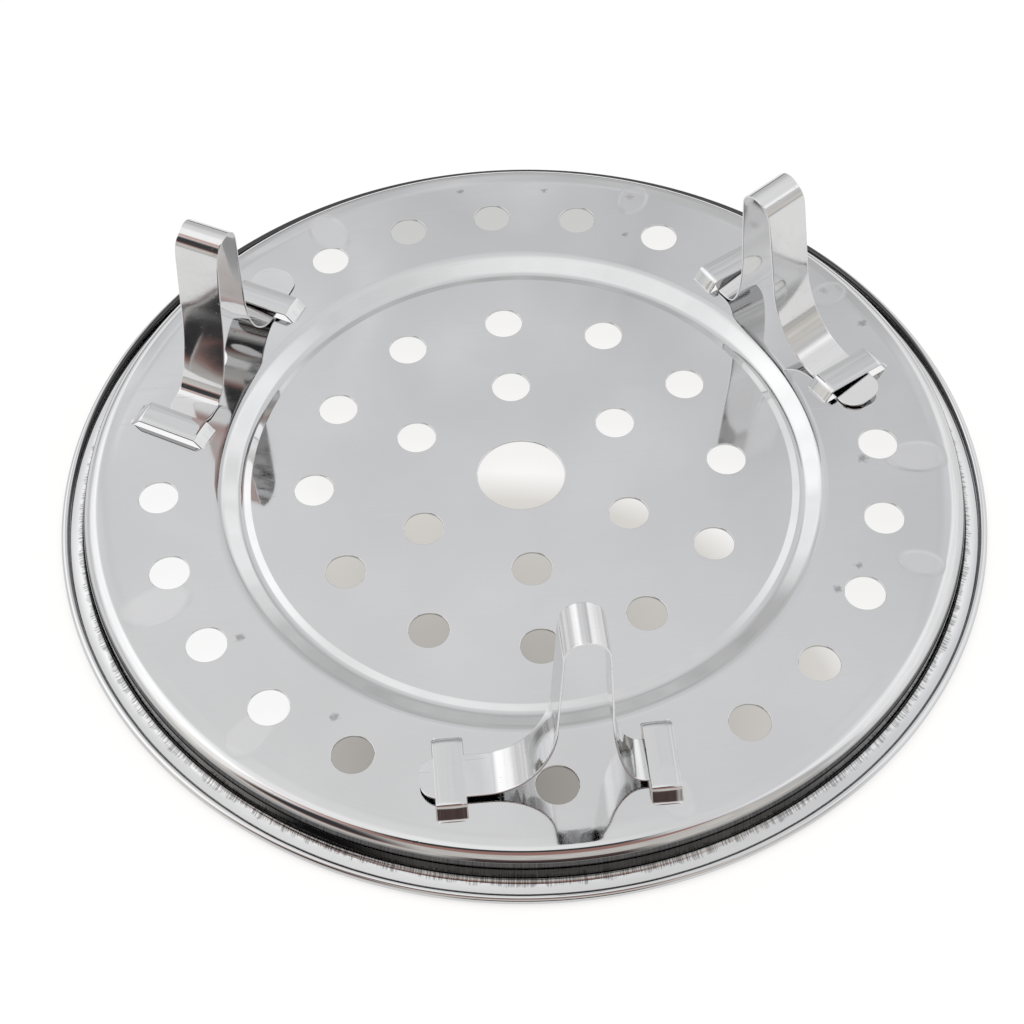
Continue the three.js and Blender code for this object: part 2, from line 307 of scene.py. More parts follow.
placed = add(strip_tree, "GeometryNodeSetPosition", {0: grid, 2: strip_place}).outputs[0]
merged = add(strip_tree, "GeometryNodeMergeByDistance", {0: placed, 2: MERGE_WITHIN}).outputs[0]
real = add(strip_tree, "GeometryNodeRealizeInstances", {0: merged}).outputs[0]
finished = add(strip_tree, "GeometryNodeSetMaterial", {0: real, "Material": s_in["Steel"]}).outputs[0]
strip_tree.links.new(finished, s_out["Mesh"])

EDGE_HOLD = 0.25 * MM


def edge_section_mesh(name, gauge, rounding, crown):
    """The section of a strip: each point holds its share of the half width, its way on from there and its
    way from the strip's middle face, which is crowned across the width."""
    points = []
    for side, face in ((1, -1), (1, 1), (-1, 1), (-1, -1)):
        corner = Vector((-side * rounding, face * (gauge / 2 - rounding)))
        start = math.atan2(0, side) if side * face > 0 else math.atan2(face, 0)
        bend = arc_points(corner, rounding, start, start + math.pi / 2, math.radians(30))
        corners = [(side, p.x, p.y) for p in bend]
        hold = (side, -side * (rounding + EDGE_HOLD), face * gauge / 2)
        flat = [(side * share, 0, face * gauge / 2 + crown * (1 - share**2)) for share in (0.75, 0.5, 0.25)]
        points += [*flat[::-1], hold, *corners] if side * face < 0 else [*corners, hold, *flat]
        if side * face > 0:
            points.append((0, 0, face * gauge / 2 + crown))
    return points_mesh(name, points)


def grown(name, base, tree, values):
    """An object whose plain mesh a tree has made from a base mesh, with the tree's named inputs set."""
    piece = bpy.data.objects.new(name, base)
    bpy.context.scene.collection.objects.link(piece)
    modifier = piece.modifiers.new(name, "NODES")
    modifier.node_group = tree
    for socket in tree.interface.items_tree:
        if socket.name in values:
            modifier[socket.identifier] = values[socket.name]
    bpy.context.view_layer.update()
    made = bpy.data.meshes.new_from_object(piece.evaluated_get(bpy.context.evaluated_depsgraph_get()))
    piece.modifiers.clear()
    piece.data = made
    made.name = name
    made.materials.clear()
    made.materials.append(values["Steel"])
    return piece


# Plate, its finish
# Bright rolled sheet: a mirror with fine lines along the rolling direction, faint smudges and water spots,
# shallow dents between the holes and the wall, and press wrinkles at the foot of the wall.
grain, g_in, g_out = new_tree(
    "Rolled grain",
    "ShaderNodeTree",
    {"Vector": "Vector", "Along": "Float", "Across": "Float"},
    {"Grain": "Float"},
)
stretch = {0: g_in["Along"], 1: g_in["Across"], 2: g_in["Across"]}
stretch = add(grain, "ShaderNodeCombineXYZ", stretch).outputs[0]
drawn = vector(grain, "MULTIPLY", g_in["Vector"], stretch)
lines = add(grain, "ShaderNodeTexNoise", {"Vector": drawn, "Scale": 1.0, "Detail": 3.0, "Roughness": 0.6})
grain.links.new(lines.outputs[0], g_out["Grain"])


def ranged(tree, value, low, high, start, end, curve="LINEAR"):
    """A value's place between two limits, as a level between two others."""
    limits = {0: value, 1: low, 2: high, 3: start, 4: end}
    return add(tree, "ShaderNodeMapRange", limits, interpolation_type=curve).outputs[0]


def noise(tree, place, scale, detail, output=0):
    """A soft noise, as grey or as colour."""
    inputs = {"Vector": place, "Scale": scale, "Detail": detail}
    return add(tree, "ShaderNodeTexNoise", inputs).outputs[output]


marks, m_in, m_out = new_tree(
    "Handling marks",
    "ShaderNodeTree",
    {"Vector": "Vector", "Smudge scale": "Float", "Scratch scale": "Float"},
    {"Smudge": "Float", "Scratch": "Float"},
)
cloud = add(
    marks,
    "ShaderNodeTexNoise",
    {
        "Vector": m_in["Vector"],
        "Scale": m_in["Smudge scale"],
        "Detail": 5.0,
        "Roughness": 0.6,
        "Distortion": 0.4,
    },
).outputs[0]
marks.links.new(ranged(marks, cloud, 0.45, 0.78, 0.0, 1.0), m_out["Smudge"])
turned_lines = add(
    marks,
    "ShaderNodeMapping",
    {"Vector": m_in["Vector"], "Rotation": (0.3, 0.5, 0.7), "Scale": (1.0, 45.0, 45.0)},
).outputs[0]
line_noise = noise(marks, turned_lines, m_in["Scratch scale"], 1.0)
marks.links.new(ranged(marks, line_noise, 0.71, 0.78, 0.0, 1.0), m_out["Scratch"])


def mixed(tree, share, first, second):
    """One colour turning into another by a share."""
    node = add(tree, "ShaderNodeMix", {"Factor": share}, data_type="RGBA", clamp_factor=True)
    for key, value in ((6, first), (7, second)):
        if isinstance(value, bpy.types.NodeSocket):
            tree.links.new(value, node.inputs[key])
        else:
            node.inputs[key].default_value = (*value, 1)
    return node.outputs[2]


def between(tree, value, low, high, soft):
    """A mask that is 1 between two values, with soft ends."""
    rise = ranged(tree, value, low, low + soft, 0.0, 1.0)
    fall = ranged(tree, value, high - soft, high, 1.0, 0.0)
    return calc(tree, "MULTIPLY", rise, fall)


def group_node(tree, group, inputs):
    """A placed node group, with its inputs set."""
    return add(tree, tree.bl_idname.replace("Tree", "Group"), inputs, node_tree=group).outputs


PLATE_GREY = (0.6, 0.602, 0.607)
PETAL_HIGHLIGHT_GREY = (0.67, 0.67, 0.675)
DULL_GREY = (0.4, 0.4, 0.405)
SPOT_GREY = (0.2, 0.2, 0.205)
# This dark is painted: a dark reflection on the wall, and shade in the rolled hollow and in the wrinkles.
PAINTED_SHADE_DARK = (0.04, 0.038, 0.038)

# Dents as radius, bearing, reach and depth: each is a petal between a hole and the wall.
# Spots as x, y and size. All in millimetres and degrees.
DENTS = (
    (101, -3, 9, 0.07),
    (103, -22, 6.5, 0.06),
    (99, -160, 10, 0.07),
    (102, -134, 8, 0.06),
    (103, 67, 7, 0.04),
    (103, 31, 6.5, 0.04),
    (101, 117, 9, 0.05),
    (102, -75, 7, 0.03),
)
SPOTS = (
    (80, -38, 1.2),
    (73.6, -44.5, 1.3),
    (87.6, -4.5, 1.7),
    (-50, -69.5, 1.4),
    (-72, -45, 1.5),
    (40, 97, 1.5),
    (37, 82, 0.9),
    (16, 102, 1),
    (-8, 104, 1),
    (88.5, 55, 1.4),
    (96.5, 42, 1.4),
)
SPOT_FRAY = (3 * MM, 1.6 * MM, 0)
PETAL_STRETCH = 0.16
PETAL_FLOOR = 0.66
PETAL_HIGHLIGHT_GAIN = 8
WAVE_HEIGHT = 0.16 * MM
GRAIN_HEIGHT = 0.0008 * MM
WRINKLE_DEPTH = 0.01 * MM
SCRATCH_DEPTH = 0.003 * MM

plate_steel = bpy.data.materials.new("pressed_steel")
plate_steel.use_nodes = True
nodes = plate_steel.node_tree
shader = nodes.nodes["Principled BSDF"]
place = add(nodes, "ShaderNodeTexCoord").outputs["Object"]
xyz = add(nodes, "ShaderNodeSeparateXYZ", {0: place}).outputs
flat_place = add(nodes, "ShaderNodeCombineXYZ", {0: xyz[0], 1: xyz[1]}).outputs[0]
rim_place = vector(nodes, "SUBTRACT", flat_place, RIM_SHIFT)
radius = vector(nodes, "LENGTH", rim_place)
bearing = calc(nodes, "ARCTAN2", xyz[1], xyz[0])
rolled = group_node(nodes, grain, {"Vector": place, "Along": 45.0, "Across": 2600.0})["Grain"]
handled = group_node(nodes, marks, {"Vector": place, "Smudge scale": 26.0, "Scratch scale": 30.0})

# The drawn wall is painted dark as a dark reflection, with fine streaks down it, and less so on the far
# side.
around = vector(nodes, "NORMALIZE", rim_place)
streaks = ranged(nodes, noise(nodes, around, 260.0, 2.0), 0.3, 0.7, 0.9, 1.0)
painted_wall_reflection = between(nodes, radius, WALL_TOP - 1.6 * MM, WALL_FOOT + 1.2 * MM, 0.4 * MM)
painted_wall_reflection = calc(nodes, "MULTIPLY", painted_wall_reflection, between(nodes, xyz[2], 1.5 * MM, 7.3 * MM, 0.5 * MM))
wall_reflection_fade = ranged(nodes, xyz[1], -50 * MM, 40 * MM, 0.97, 0.5)
painted_wall_reflection = calc(nodes, "MULTIPLY", calc(nodes, "MULTIPLY", painted_wall_reflection, streaks), wall_reflection_fade)

# Painted shade darkens the hollow of the rolled edge, and the top of the roll too on the far side, where it
# is strongest.
hollow_end = ranged(nodes, xyz[1], 0.0, 80 * MM, CURL_MIDDLE - 0.7 * MM, CURL_MIDDLE + 0.45 * MM)
hollow_shade = ranged(nodes, calc(nodes, "SUBTRACT", hollow_end, radius), 0.0, 0.2 * MM, 0.0, 1.0)
hollow_start = ranged(nodes, radius, CURL_MIDDLE - 1.6 * MM, CURL_MIDDLE - 1.4 * MM, 0.0, 1.0)
hollow_shade = calc(nodes, "MULTIPLY", hollow_shade, hollow_start)
hollow_shade = calc(nodes, "MULTIPLY", hollow_shade, between(nodes, xyz[2], 0.75 * MM, 2.6 * MM, 0.15 * MM))
hollow_shade_weight = ranged(nodes, xyz[1], -60 * MM, 40 * MM, 0.3, 0.95)

# Short press wrinkles of uneven length run out from the foot of the wall, pressed in as relief and darkened
# with painted shade.
wrinkle_lines = ranged(nodes, noise(nodes, around, 300.0, 2.0), 0.43, 0.55, 0.0, 1.0)
wrinkle_reach = noise(nodes, around, 45.0, 4.0)
wrinkle_end = ranged(nodes, wrinkle_reach, 0.35, 0.65, WALL_FOOT + 1.4 * MM, WALL_FOOT + 2.4 * MM)
wrinkles = ranged(nodes, calc(nodes, "SUBTRACT", wrinkle_end, radius), 0.0, 0.5 * MM, 0.0, 1.0)
wrinkle_start = ranged(nodes, radius, WALL_FOOT + 0.1 * MM, WALL_FOOT + 0.4 * MM, 0.0, 1.0)
wrinkles = calc(nodes, "MULTIPLY", wrinkles, wrinkle_start)
wrinkles = calc(nodes, "MULTIPLY", wrinkles, wrinkle_lines)

# Water spots have ragged outlines.
fray = vector(nodes, "SUBTRACT", noise(nodes, place, 900.0, 2.0, "Color"), (0.5, 0.5, 0.5))
ragged_place = vector(nodes, "MULTIPLY_ADD", fray, SPOT_FRAY, flat_place)
spots = 0.0
for spot_x, spot_y, spot_size in SPOTS:
    away = vector(nodes, "DISTANCE", ragged_place, (spot_x * MM, spot_y * MM, 0))
    near = ranged(nodes, away, 0.35 * spot_size * MM, spot_size * MM, 1.0, 0.0)
    spots = calc(nodes, "MAXIMUM", spots, near)

# The sheet is slightly wavy. Each dent is a shallow petal, and its flat floor has a painted highlight.
waves = noise(nodes, place, 17.0, 1.0)
relief = calc(nodes, "MULTIPLY", waves, WAVE_HEIGHT)
stretched = calc(nodes, "MULTIPLY", bearing, PETAL_STRETCH)
polar_place = add(nodes, "ShaderNodeCombineXYZ", {0: radius, 1: stretched}).outputs[0]
petal_highlight = 0.0
for dent_radius, dent_bearing, reach, depth in DENTS:
    dent_place = (dent_radius * MM, math.radians(dent_bearing) * PETAL_STRETCH, 0)
    away = vector(nodes, "DISTANCE", polar_place, dent_place)
    petal = ranged(nodes, away, PETAL_FLOOR * reach * MM, reach * MM, 1.0, 0.0, "SMOOTHERSTEP")
    relief = calc(nodes, "MULTIPLY_ADD", petal, -depth * MM, relief)
    petal_highlight = calc(nodes, "MAXIMUM", petal_highlight, calc(nodes, "MULTIPLY", petal, PETAL_HIGHLIGHT_GAIN * depth))
relief = calc(nodes, "MULTIPLY_ADD", rolled, GRAIN_HEIGHT, relief)
relief = calc(nodes, "MULTIPLY_ADD", wrinkles, -WRINKLE_DEPTH, relief)
relief = calc(nodes, "MULTIPLY_ADD", handled["Scratch"], -SCRATCH_DEPTH, relief)
bump = add(nodes, "ShaderNodeBump", {"Strength": 1.0, "Distance": 1.0, "Height": relief})
nodes.links.new(bump.outputs[0], shader.inputs["Normal"])

steel_colour = mixed(nodes, calc(nodes, "MULTIPLY", rolled, 0.1), PLATE_GREY, DULL_GREY)
steel_colour = mixed(nodes, calc(nodes, "MULTIPLY", handled["Smudge"], 0.14), steel_colour, DULL_GREY)
steel_colour = mixed(nodes, calc(nodes, "MULTIPLY", spots, 0.6), steel_colour, SPOT_GREY)
# The wall's painted dark reflection.
steel_colour = mixed(nodes, painted_wall_reflection, steel_colour, PAINTED_SHADE_DARK)
# Painted shade in the hollow of the rolled edge.
steel_colour = mixed(nodes, calc(nodes, "MULTIPLY", hollow_shade, hollow_shade_weight), steel_colour, PAINTED_SHADE_DARK)
# Painted shade darkens the creases of the press wrinkles.
steel_colour = mixed(nodes, calc(nodes, "MULTIPLY", wrinkles, 0.55), steel_colour, PAINTED_SHADE_DARK)
# A painted highlight lightens the flat floor of each dent.
steel_colour = mixed(nodes, petal_highlight, steel_colour, PETAL_HIGHLIGHT_GREY)
nodes.links.new(steel_colour, shader.inputs["Base Color"])
shader.inputs["Metallic"].default_value = 1.0
dullness = calc(nodes, "MULTIPLY_ADD", rolled, 0.05, 0.02)
dullness = calc(nodes, "MULTIPLY_ADD", handled["Smudge"], 0.07, dullness)
dullness = calc(nodes, "MULTIPLY_ADD", spots, 0.2, dullness)
nodes.links.new(dullness, shader.inputs["Roughness"])

# Plate, its holes and straps
# Steam holes are punched from the leg side in rings, and six straps are lanced out of the band and raised
# over the legs' feet, so that each is one with the sheet at both ends over the slot that it left.
STEAM_HOLE_RADIUS = 5 * MM
LEG_LINE = WALL_TOP - 23.4 * MM
STRAP_LENGTH = 21 * MM
STRAP_HALF = 3.5 * MM
STRAP_ROOT = 0.6 * MM
STRAP_RUN = 2.2 * MM
STRAP_LIFTS = {"Front strap": 2.3 * MM, "Right strap": 2.6 * MM, "Left strap": 1.8 * MM}
STRAP_ROOT_BEND = 0.6 * MM
STRAP_TOP_BEND = 1.2 * MM
STRAP_EDGE = 0.16 * MM
STRAP_CROWN = 0.22 * MM
SLOT_PLAY = 0.3 * MM

strap_edge_mesh = edge_section_mesh("strap_edge", SHEET, STRAP_EDGE, STRAP_CROWN)
strap_edge = bpy.data.objects.new("strap_edge", strap_edge_mesh)
strap_end = STRAP_LENGTH / 2
straps = {}
for strap_name, lift in STRAP_LIFTS.items():
    strap_top = BAND_TOP + lift + SHEET / 2
    strap_line = rounded_line(
        [
            (-strap_end - STRAP_ROOT, BAND_Z, 0),
            (-strap_end, BAND_Z, STRAP_ROOT_BEND),
            (STRAP_RUN - strap_end, strap_top, STRAP_TOP_BEND),
            (strap_end - STRAP_RUN, strap_top, STRAP_TOP_BEND),
            (strap_end, BAND_Z, STRAP_ROOT_BEND),
            (strap_end + STRAP_ROOT, BAND_Z, 0),
        ],
        math.radians(10),
    )
    strap_line = [strap_line[0]] + strap_line + [strap_line[-1]]
    strap_path = points_mesh(
        strap_name,
        [(0, p.x, p.y) for p in strap_line],
        half_width=[STRAP_HALF] * len(strap_line),
        solid=[0] + [1] * (len(strap_line) - 2) + [0],
    )
    strap = grown(strap_name, strap_path, strip_tree, {"Edge section": strap_edge, "Steel": plate_steel})
    strap.data.transform(Matrix.Rotation(-math.pi / 2, 4, "Z"))
    straps[strap_name] = strap

# The punch that cuts one steam hole, with its shoulder, from the sheet's upper face.
punch_line = [Vector((0, -2 * MM)), Vector((STEAM_HOLE_RADIUS, -2 * MM))]
roll_centre = (STEAM_HOLE_RADIUS + PUNCH_ROLL, 0.01 * MM - PUNCH_ROLL)
punch_line += arc_points(roll_centre, PUNCH_ROLL, math.pi, math.pi / 2, math.radians(30))
punch_line += [Vector((STEAM_HOLE_RADIUS + PUNCH_ROLL, 1 * MM)), Vector((0, 1 * MM))]
punch_section = points_mesh("punch", [(p.x, 0, p.y) for p in punch_line], ragged=[0] * len(punch_line))
punch = bpy.data.objects.new("punch", punch_section)

pressed, p_in, p_out = new_tree(
    "Pressed plate",
    "GeometryNodeTree",
    {
        "Section": "Geometry",
        "Sides": "Int",
        "Edge wave": "Float",
        "Wave seed": "Float",
        "Rim shift": "Vector",
        "Shift from": "Float",
        "Punch": "Object",
        "Hole sides": "Int",
        "Inner ring holes": "Int",
        "Inner ring radius": "Float",
        "Middle ring holes": "Int",
        "Middle ring radius": "Float",
        "Centre top": "Float",
        "Legs": "Int",
        "Bay holes": "Int",
        "Bay pitch": "Float",
        "Band ring radius": "Float",
        "Band top": "Float",
        **{strap_name: "Object" for strap_name in STRAP_LIFTS},
        "Leg line radius": "Float",
        "Strap offset": "Float",
        "Slot size": "Vector",
        "Steel": "Material",
    },
    {"Mesh": "Geometry"},
)
blank_inputs = ("Section", "Sides", "Edge wave", "Wave seed", "Rim shift", "Shift from")
blank = group_node(pressed, turned, {name: p_in[name] for name in blank_inputs})["Mesh"]
punch_profile = add(pressed, "GeometryNodeObjectInfo", {0: p_in["Punch"]}).outputs["Geometry"]
punch_solid = group_node(pressed, turned, {"Section": punch_profile, "Sides": p_in["Hole sides"]})["Mesh"]
index = add(pressed, "GeometryNodeInputIndex").outputs[0]
leg_pitch = calc(pressed, "DIVIDE", 2 * math.pi, p_in["Legs"])
first_leg = -math.pi / 2


def placed_on(tree, count, places, shape, turn=None):
    """Copies of a shape on so many places."""
    points = add(tree, "GeometryNodePoints", {"Count": count, "Position": places}).outputs[0]
    copies = add(tree, "GeometryNodeInstanceOnPoints", {"Points": points, "Instance": shape})
    if turn is not None:
        euler = add(tree, "ShaderNodeCombineXYZ", {2: turn}).outputs[0]
        rotation = add(tree, "FunctionNodeEulerToRotation", {0: euler}).outputs[0]
        tree.links.new(rotation, copies.inputs["Rotation"])
    return copies.outputs[0]


hole_sets = []
for ring_name in ("Inner ring", "Middle ring"):
    count = p_in[ring_name + " holes"]
    ring_pitch = calc(pressed, "DIVIDE", 2 * math.pi, count)
    ring_turn = calc(pressed, "MULTIPLY_ADD", index, ring_pitch, math.pi / 2)
    ring_place = polar(pressed, p_in[ring_name + " radius"], ring_turn, p_in["Centre top"])
    hole_sets.append(placed_on(pressed, count, ring_place, punch_solid))

# In the band one hole lies under each leg, and a bay of holes is centred between each two legs.
bay_size = calc(pressed, "ADD", p_in["Bay holes"], 1)
leg_number = calc(pressed, "FLOOR", calc(pressed, "DIVIDE", index, bay_size))
bay_step = calc(pressed, "SUBTRACT", index, calc(pressed, "MULTIPLY", leg_number, bay_size))
bay_middle = calc(pressed, "DIVIDE", bay_size, 2.0)
bay_turn = calc(pressed, "MULTIPLY", calc(pressed, "SUBTRACT", bay_step, bay_middle), p_in["Bay pitch"])
bay_turn = calc(pressed, "ADD", bay_turn, calc(pressed, "DIVIDE", leg_pitch, 2.0))
bay_turn = calc(pressed, "MULTIPLY", bay_turn, calc(pressed, "GREATER_THAN", bay_step, 0.5))
leg_turn = calc(pressed, "MULTIPLY_ADD", leg_number, leg_pitch, first_leg)
band_turn = calc(pressed, "ADD", leg_turn, bay_turn)
band_place = polar(pressed, p_in["Band ring radius"], band_turn, p_in["Band top"])
band_count = calc(pressed, "MULTIPLY", p_in["Legs"], bay_size)
hole_sets.append(placed_on(pressed, band_count, band_place, punch_solid))

# Two slots lie across each leg's line, one on each side of its middle.
pair_number = calc(pressed, "FLOOR", calc(pressed, "DIVIDE", index, 2.0))
pair_side = calc(pressed, "SUBTRACT", index, calc(pressed, "MULTIPLY", pair_number, 2.0))
pair_side = calc(pressed, "MULTIPLY", calc(pressed, "SUBTRACT", pair_side, 0.5), 2.0)
pair_turn = calc(pressed, "MULTIPLY_ADD", pair_number, leg_pitch, first_leg)
pair_shift = calc(pressed, "MULTIPLY", pair_side, p_in["Strap offset"])
pair_local = add(pressed, "ShaderNodeCombineXYZ", {0: p_in["Leg line radius"], 1: pair_shift}).outputs[0]
pair_reach = vector(pressed, "LENGTH", pair_local)
pair_bearing = calc(pressed, "ARCTAN2", pair_shift, p_in["Leg line radius"])
pair_bearing = calc(pressed, "ADD", pair_turn, pair_bearing)
pair_count = calc(pressed, "MULTIPLY", p_in["Legs"], 2.0)
slot_height = calc(pressed, "SUBTRACT", p_in["Band top"], SHEET / 2)
slot_shape = add(pressed, "GeometryNodeMeshCube", {"Size": p_in["Slot size"]}).outputs[0]
slot_place = polar(pressed, pair_reach, pair_bearing, slot_height)
hole_sets.append(placed_on(pressed, pair_count, slot_place, slot_shape, pair_turn))
cuts = add(pressed, "GeometryNodeJoinGeometry")
for hole_set in hole_sets:
    pressed.links.new(hole_set, cuts.inputs[0])
cut_solids = add(pressed, "GeometryNodeRealizeInstances", {0: cuts.outputs[0]}).outputs[0]
pierced = add(
    pressed, "GeometryNodeMeshBoolean", {0: blank, 1: cut_solids}, operation="DIFFERENCE", solver="MANIFOLD"
).outputs[0]

# A strap of its leg's own height stands over each slot.
raised = add(pressed, "GeometryNodeJoinGeometry")
for leg_index, strap_name in enumerate(STRAP_LIFTS):
    strap_shape = add(pressed, "GeometryNodeObjectInfo", {0: p_in[strap_name]}).outputs["Geometry"]
    strap_turn = calc(pressed, "MULTIPLY_ADD", leg_pitch, leg_index, first_leg)
    strap_side = calc(pressed, "MULTIPLY_ADD", index, 2.0, -1.0)
    strap_shift = calc(pressed, "MULTIPLY", strap_side, p_in["Strap offset"])
    strap_bearing = calc(pressed, "ARCTAN2", strap_shift, p_in["Leg line radius"])
    strap_place = polar(pressed, pair_reach, calc(pressed, "ADD", strap_turn, strap_bearing), 0.0)
    pressed.links.new(placed_on(pressed, 2, strap_place, strap_shape, strap_turn), raised.inputs[0])
raised = add(pressed, "GeometryNodeRealizeInstances", {0: raised.outputs[0]}).outputs[0]
whole = add(pressed, "GeometryNodeMeshBoolean", operation="UNION", solver="MANIFOLD")
pressed.links.new(pierced, whole.inputs[1])
pressed.links.new(raised, whole.inputs[1])
whole = add(pressed, "GeometryNodeRealizeInstances", {0: whole.outputs[0]}).outputs[0]
finished = add(pressed, "GeometryNodeSetMaterial", {0: whole, "Material": p_in["Steel"]}).outputs[0]
pressed.links.new(finished, p_out["Mesh"])

plate = grown(
    "pressed_plate",
    plate_section,
    pressed,
    {
        "Sides": 320,
        "Edge wave": 0.5 * MM,
        "Wave seed": 3.0,
        "Rim shift": RIM_SHIFT,
        "Shift from": BAND_TURN - 4 * MM,
        "Punch": punch,
        "Hole sides": 48,
        "Inner ring holes": 6,
        "Inner ring radius": 30 * MM,
        "Middle ring holes": 12,
        "Middle ring radius": GROOVE_INNER - 16.1 * MM,
        "Centre top": CENTRE_TOP,
        "Legs": 3,
        "Bay holes": 5,
        "Bay pitch": math.radians(15),
        "Band ring radius": WALL_TOP - 19.6 * MM,
        "Band top": BAND_TOP,
        **straps,
        "Leg line radius": LEG_LINE,
        "Strap offset": 24.4 * MM,
        "Slot size": (STRAP_LENGTH, 2 * STRAP_HALF + SLOT_PLAY, 2 * SHEET),
        "Steel": plate_steel,
    },
)
for tool in (punch, *straps.values()):
    bpy.data.objects.remove(tool)

CREASE = math.radians(28)


def shade(mesh):
    """Smooth shading, with edges that bend more than the crease left sharp."""
    mesh.shade_smooth()
    mesh.set_sharp_from_angle(angle=CREASE)


shade(plate.data)

# The edges within flat faces are sharp too, so that no shading bends across a flat face.
band_flat = (GROOVE_OUTER + 1.2 * MM, BAND_TURN - 2.6 * MM)
centre_flat = (0, GROOVE_INNER)
LEVEL_WITHIN = 0.001 * MM
flat_faces = (
    (BAND_TOP, *band_flat),
    (BAND_TOP - SHEET, *band_flat),
    (CENTRE_TOP, *centre_flat),
    (CENTRE_TOP - SHEET, *centre_flat),
)
for edge in plate.data.edges:
    first, second = (plate.data.vertices[v].co for v in edge.vertices)
    for level, inner, outer in flat_faces:
        on_level = max(abs(first.z - level), abs(second.z - level)) < LEVEL_WITHIN
        if on_level and inner < first.xy.length < outer:
            edge.use_edge_sharp = True
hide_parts("plate")
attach(plate, "plate")

# Legs
# Three pieces of one half-hard stainless strip, each bent to a hairpin with a long foot and a short foot.
# The feet slide under the plate's straps, and each leg sits a little differently in its loose straps.
STRIP_GAUGE = 0.5 * MM
STRIP_HALF = 5.8 * MM
SEAT_GAP = 0.3 * MM
LEG_HEIGHT = 51 * MM
CROWN_RADIUS = 5 * MM
LONG_SPLAY = 1.4 * MM
SHORT_SPLAY = 0.8 * MM
LONG_SWEEP = (15.8 * MM, 23 * MM)
SHORT_SWEEP = (7.2 * MM, 28 * MM)
LONG_FOOT = 37.6 * MM
SHORT_FOOT = 20.8 * MM
TIP_RADIUS = 4.5 * MM
STRIP_EDGE = 0.1 * MM
STATION = 0.7 * MM
FOOT_Z = STRIP_GAUGE / 2


def foot_sweep(side, limb_foot, width, height):
    """The sweep from a limb down into a foot, a quarter of an ellipse."""
    turns = [math.pi / 2 * i / 30 for i in range(31)]
    reach = [limb_foot + width * (1 - math.cos(t)) for t in turns]
    return [Vector((side * r, FOOT_Z + height * (1 - math.sin(t)))) for r, t in zip(reach, turns)]


leg_line = [Vector((-LONG_FOOT, FOOT_Z))]
leg_line += foot_sweep(-1, CROWN_RADIUS + LONG_SPLAY, *LONG_SWEEP)[::-1]
crown_centre = (0, LEG_HEIGHT - FOOT_Z - CROWN_RADIUS)
leg_line += arc_points(crown_centre, CROWN_RADIUS, math.pi, 0, math.radians(6))
leg_line += foot_sweep(1, CROWN_RADIUS + SHORT_SPLAY, *SHORT_SWEEP)
leg_line += [Vector((SHORT_FOOT, FOOT_Z))]
reached = [0]
for before, after in zip(leg_line, leg_line[1:]):
    reached.append(reached[-1] + (after - before).length)
leg_length = reached[-1]


def on_leg(distance):
    """The place on the leg's line at a distance from its long tip."""
    i = max(k for k in range(len(reached) - 1) if reached[k] <= distance)
    share = (distance - reached[i]) / (reached[i + 1] - reached[i])
    return leg_line[i].lerp(leg_line[i + 1], min(1, share))


tip_steps = [TIP_RADIUS * (1 - math.cos(math.pi / 2 * i / 9)) for i in range(10)]
middle_length = leg_length - 2 * TIP_RADIUS
middle_count = round(middle_length / STATION)
middle_steps = [TIP_RADIUS + middle_length * i / middle_count for i in range(1, middle_count)]
stations = tip_steps + middle_steps + [leg_length - s for s in reversed(tip_steps)]
station_line = [on_leg(s) for s in stations]

# The bends run softly into each other, as in strip bent by hand.
for _ in range(6):
    softened = station_line[:]
    for i in range(len(tip_steps), len(stations) - len(tip_steps)):
        softened[i] = station_line[i] * 0.5 + (station_line[i - 1] + station_line[i + 1]) * 0.25
    station_line = softened
tip_room = [min(s, leg_length - s, TIP_RADIUS) for s in stations]
half_widths = [STRIP_HALF - TIP_RADIUS + math.sqrt(TIP_RADIUS**2 - (TIP_RADIUS - r) ** 2) for r in tip_room]
leg_path = points_mesh(
    "leg_path",
    [(0, p.x, p.y) for p in [station_line[0]] + station_line + [station_line[-1]]],
    half_width=[half_widths[0]] + half_widths + [half_widths[-1]],
    solid=[0] + [1] * len(stations) + [0],
)
leg_edge = bpy.data.objects.new("leg_edge", edge_section_mesh("leg_edge", STRIP_GAUGE, STRIP_EDGE, 0))

STRIP_GREY = (0.66, 0.66, 0.662)
SCUFF_GREY = (0.36, 0.36, 0.365)
RIPPLE_HEIGHT = 0.05 * MM
STRIP_GRAIN_HEIGHT = 0.002 * MM
STRIP_SCRATCH_DEPTH = 0.006 * MM
leg_steel = bpy.data.materials.new("strip_steel")
leg_steel.use_nodes = True
nodes = leg_steel.node_tree
shader = nodes.nodes["Principled BSDF"]
place = add(nodes, "ShaderNodeTexCoord").outputs["Object"]
rolled = group_node(nodes, grain, {"Vector": place, "Along": 500.0, "Across": 900.0})["Grain"]
handled = group_node(nodes, marks, {"Vector": place, "Smudge scale": 60.0, "Scratch scale": 55.0})
steel_colour = mixed(nodes, calc(nodes, "MULTIPLY", handled["Smudge"], 0.18), STRIP_GREY, SCUFF_GREY)
steel_colour = mixed(nodes, calc(nodes, "MULTIPLY", handled["Scratch"], 0.5), steel_colour, SCUFF_GREY)
nodes.links.new(steel_colour, shader.inputs["Base Color"])
shader.inputs["Metallic"].default_value = 1.0
dullness = calc(nodes, "MULTIPLY_ADD", rolled, 0.04, 0.05)
dullness = calc(nodes, "MULTIPLY_ADD", handled["Smudge"], 0.08, dullness)
dullness = calc(nodes, "MULTIPLY_ADD", handled["Scratch"], 0.2, dullness)
nodes.links.new(dullness, shader.inputs["Roughness"])
relief = calc(nodes, "MULTIPLY", noise(nodes, place, 70.0, 1.0), RIPPLE_HEIGHT)
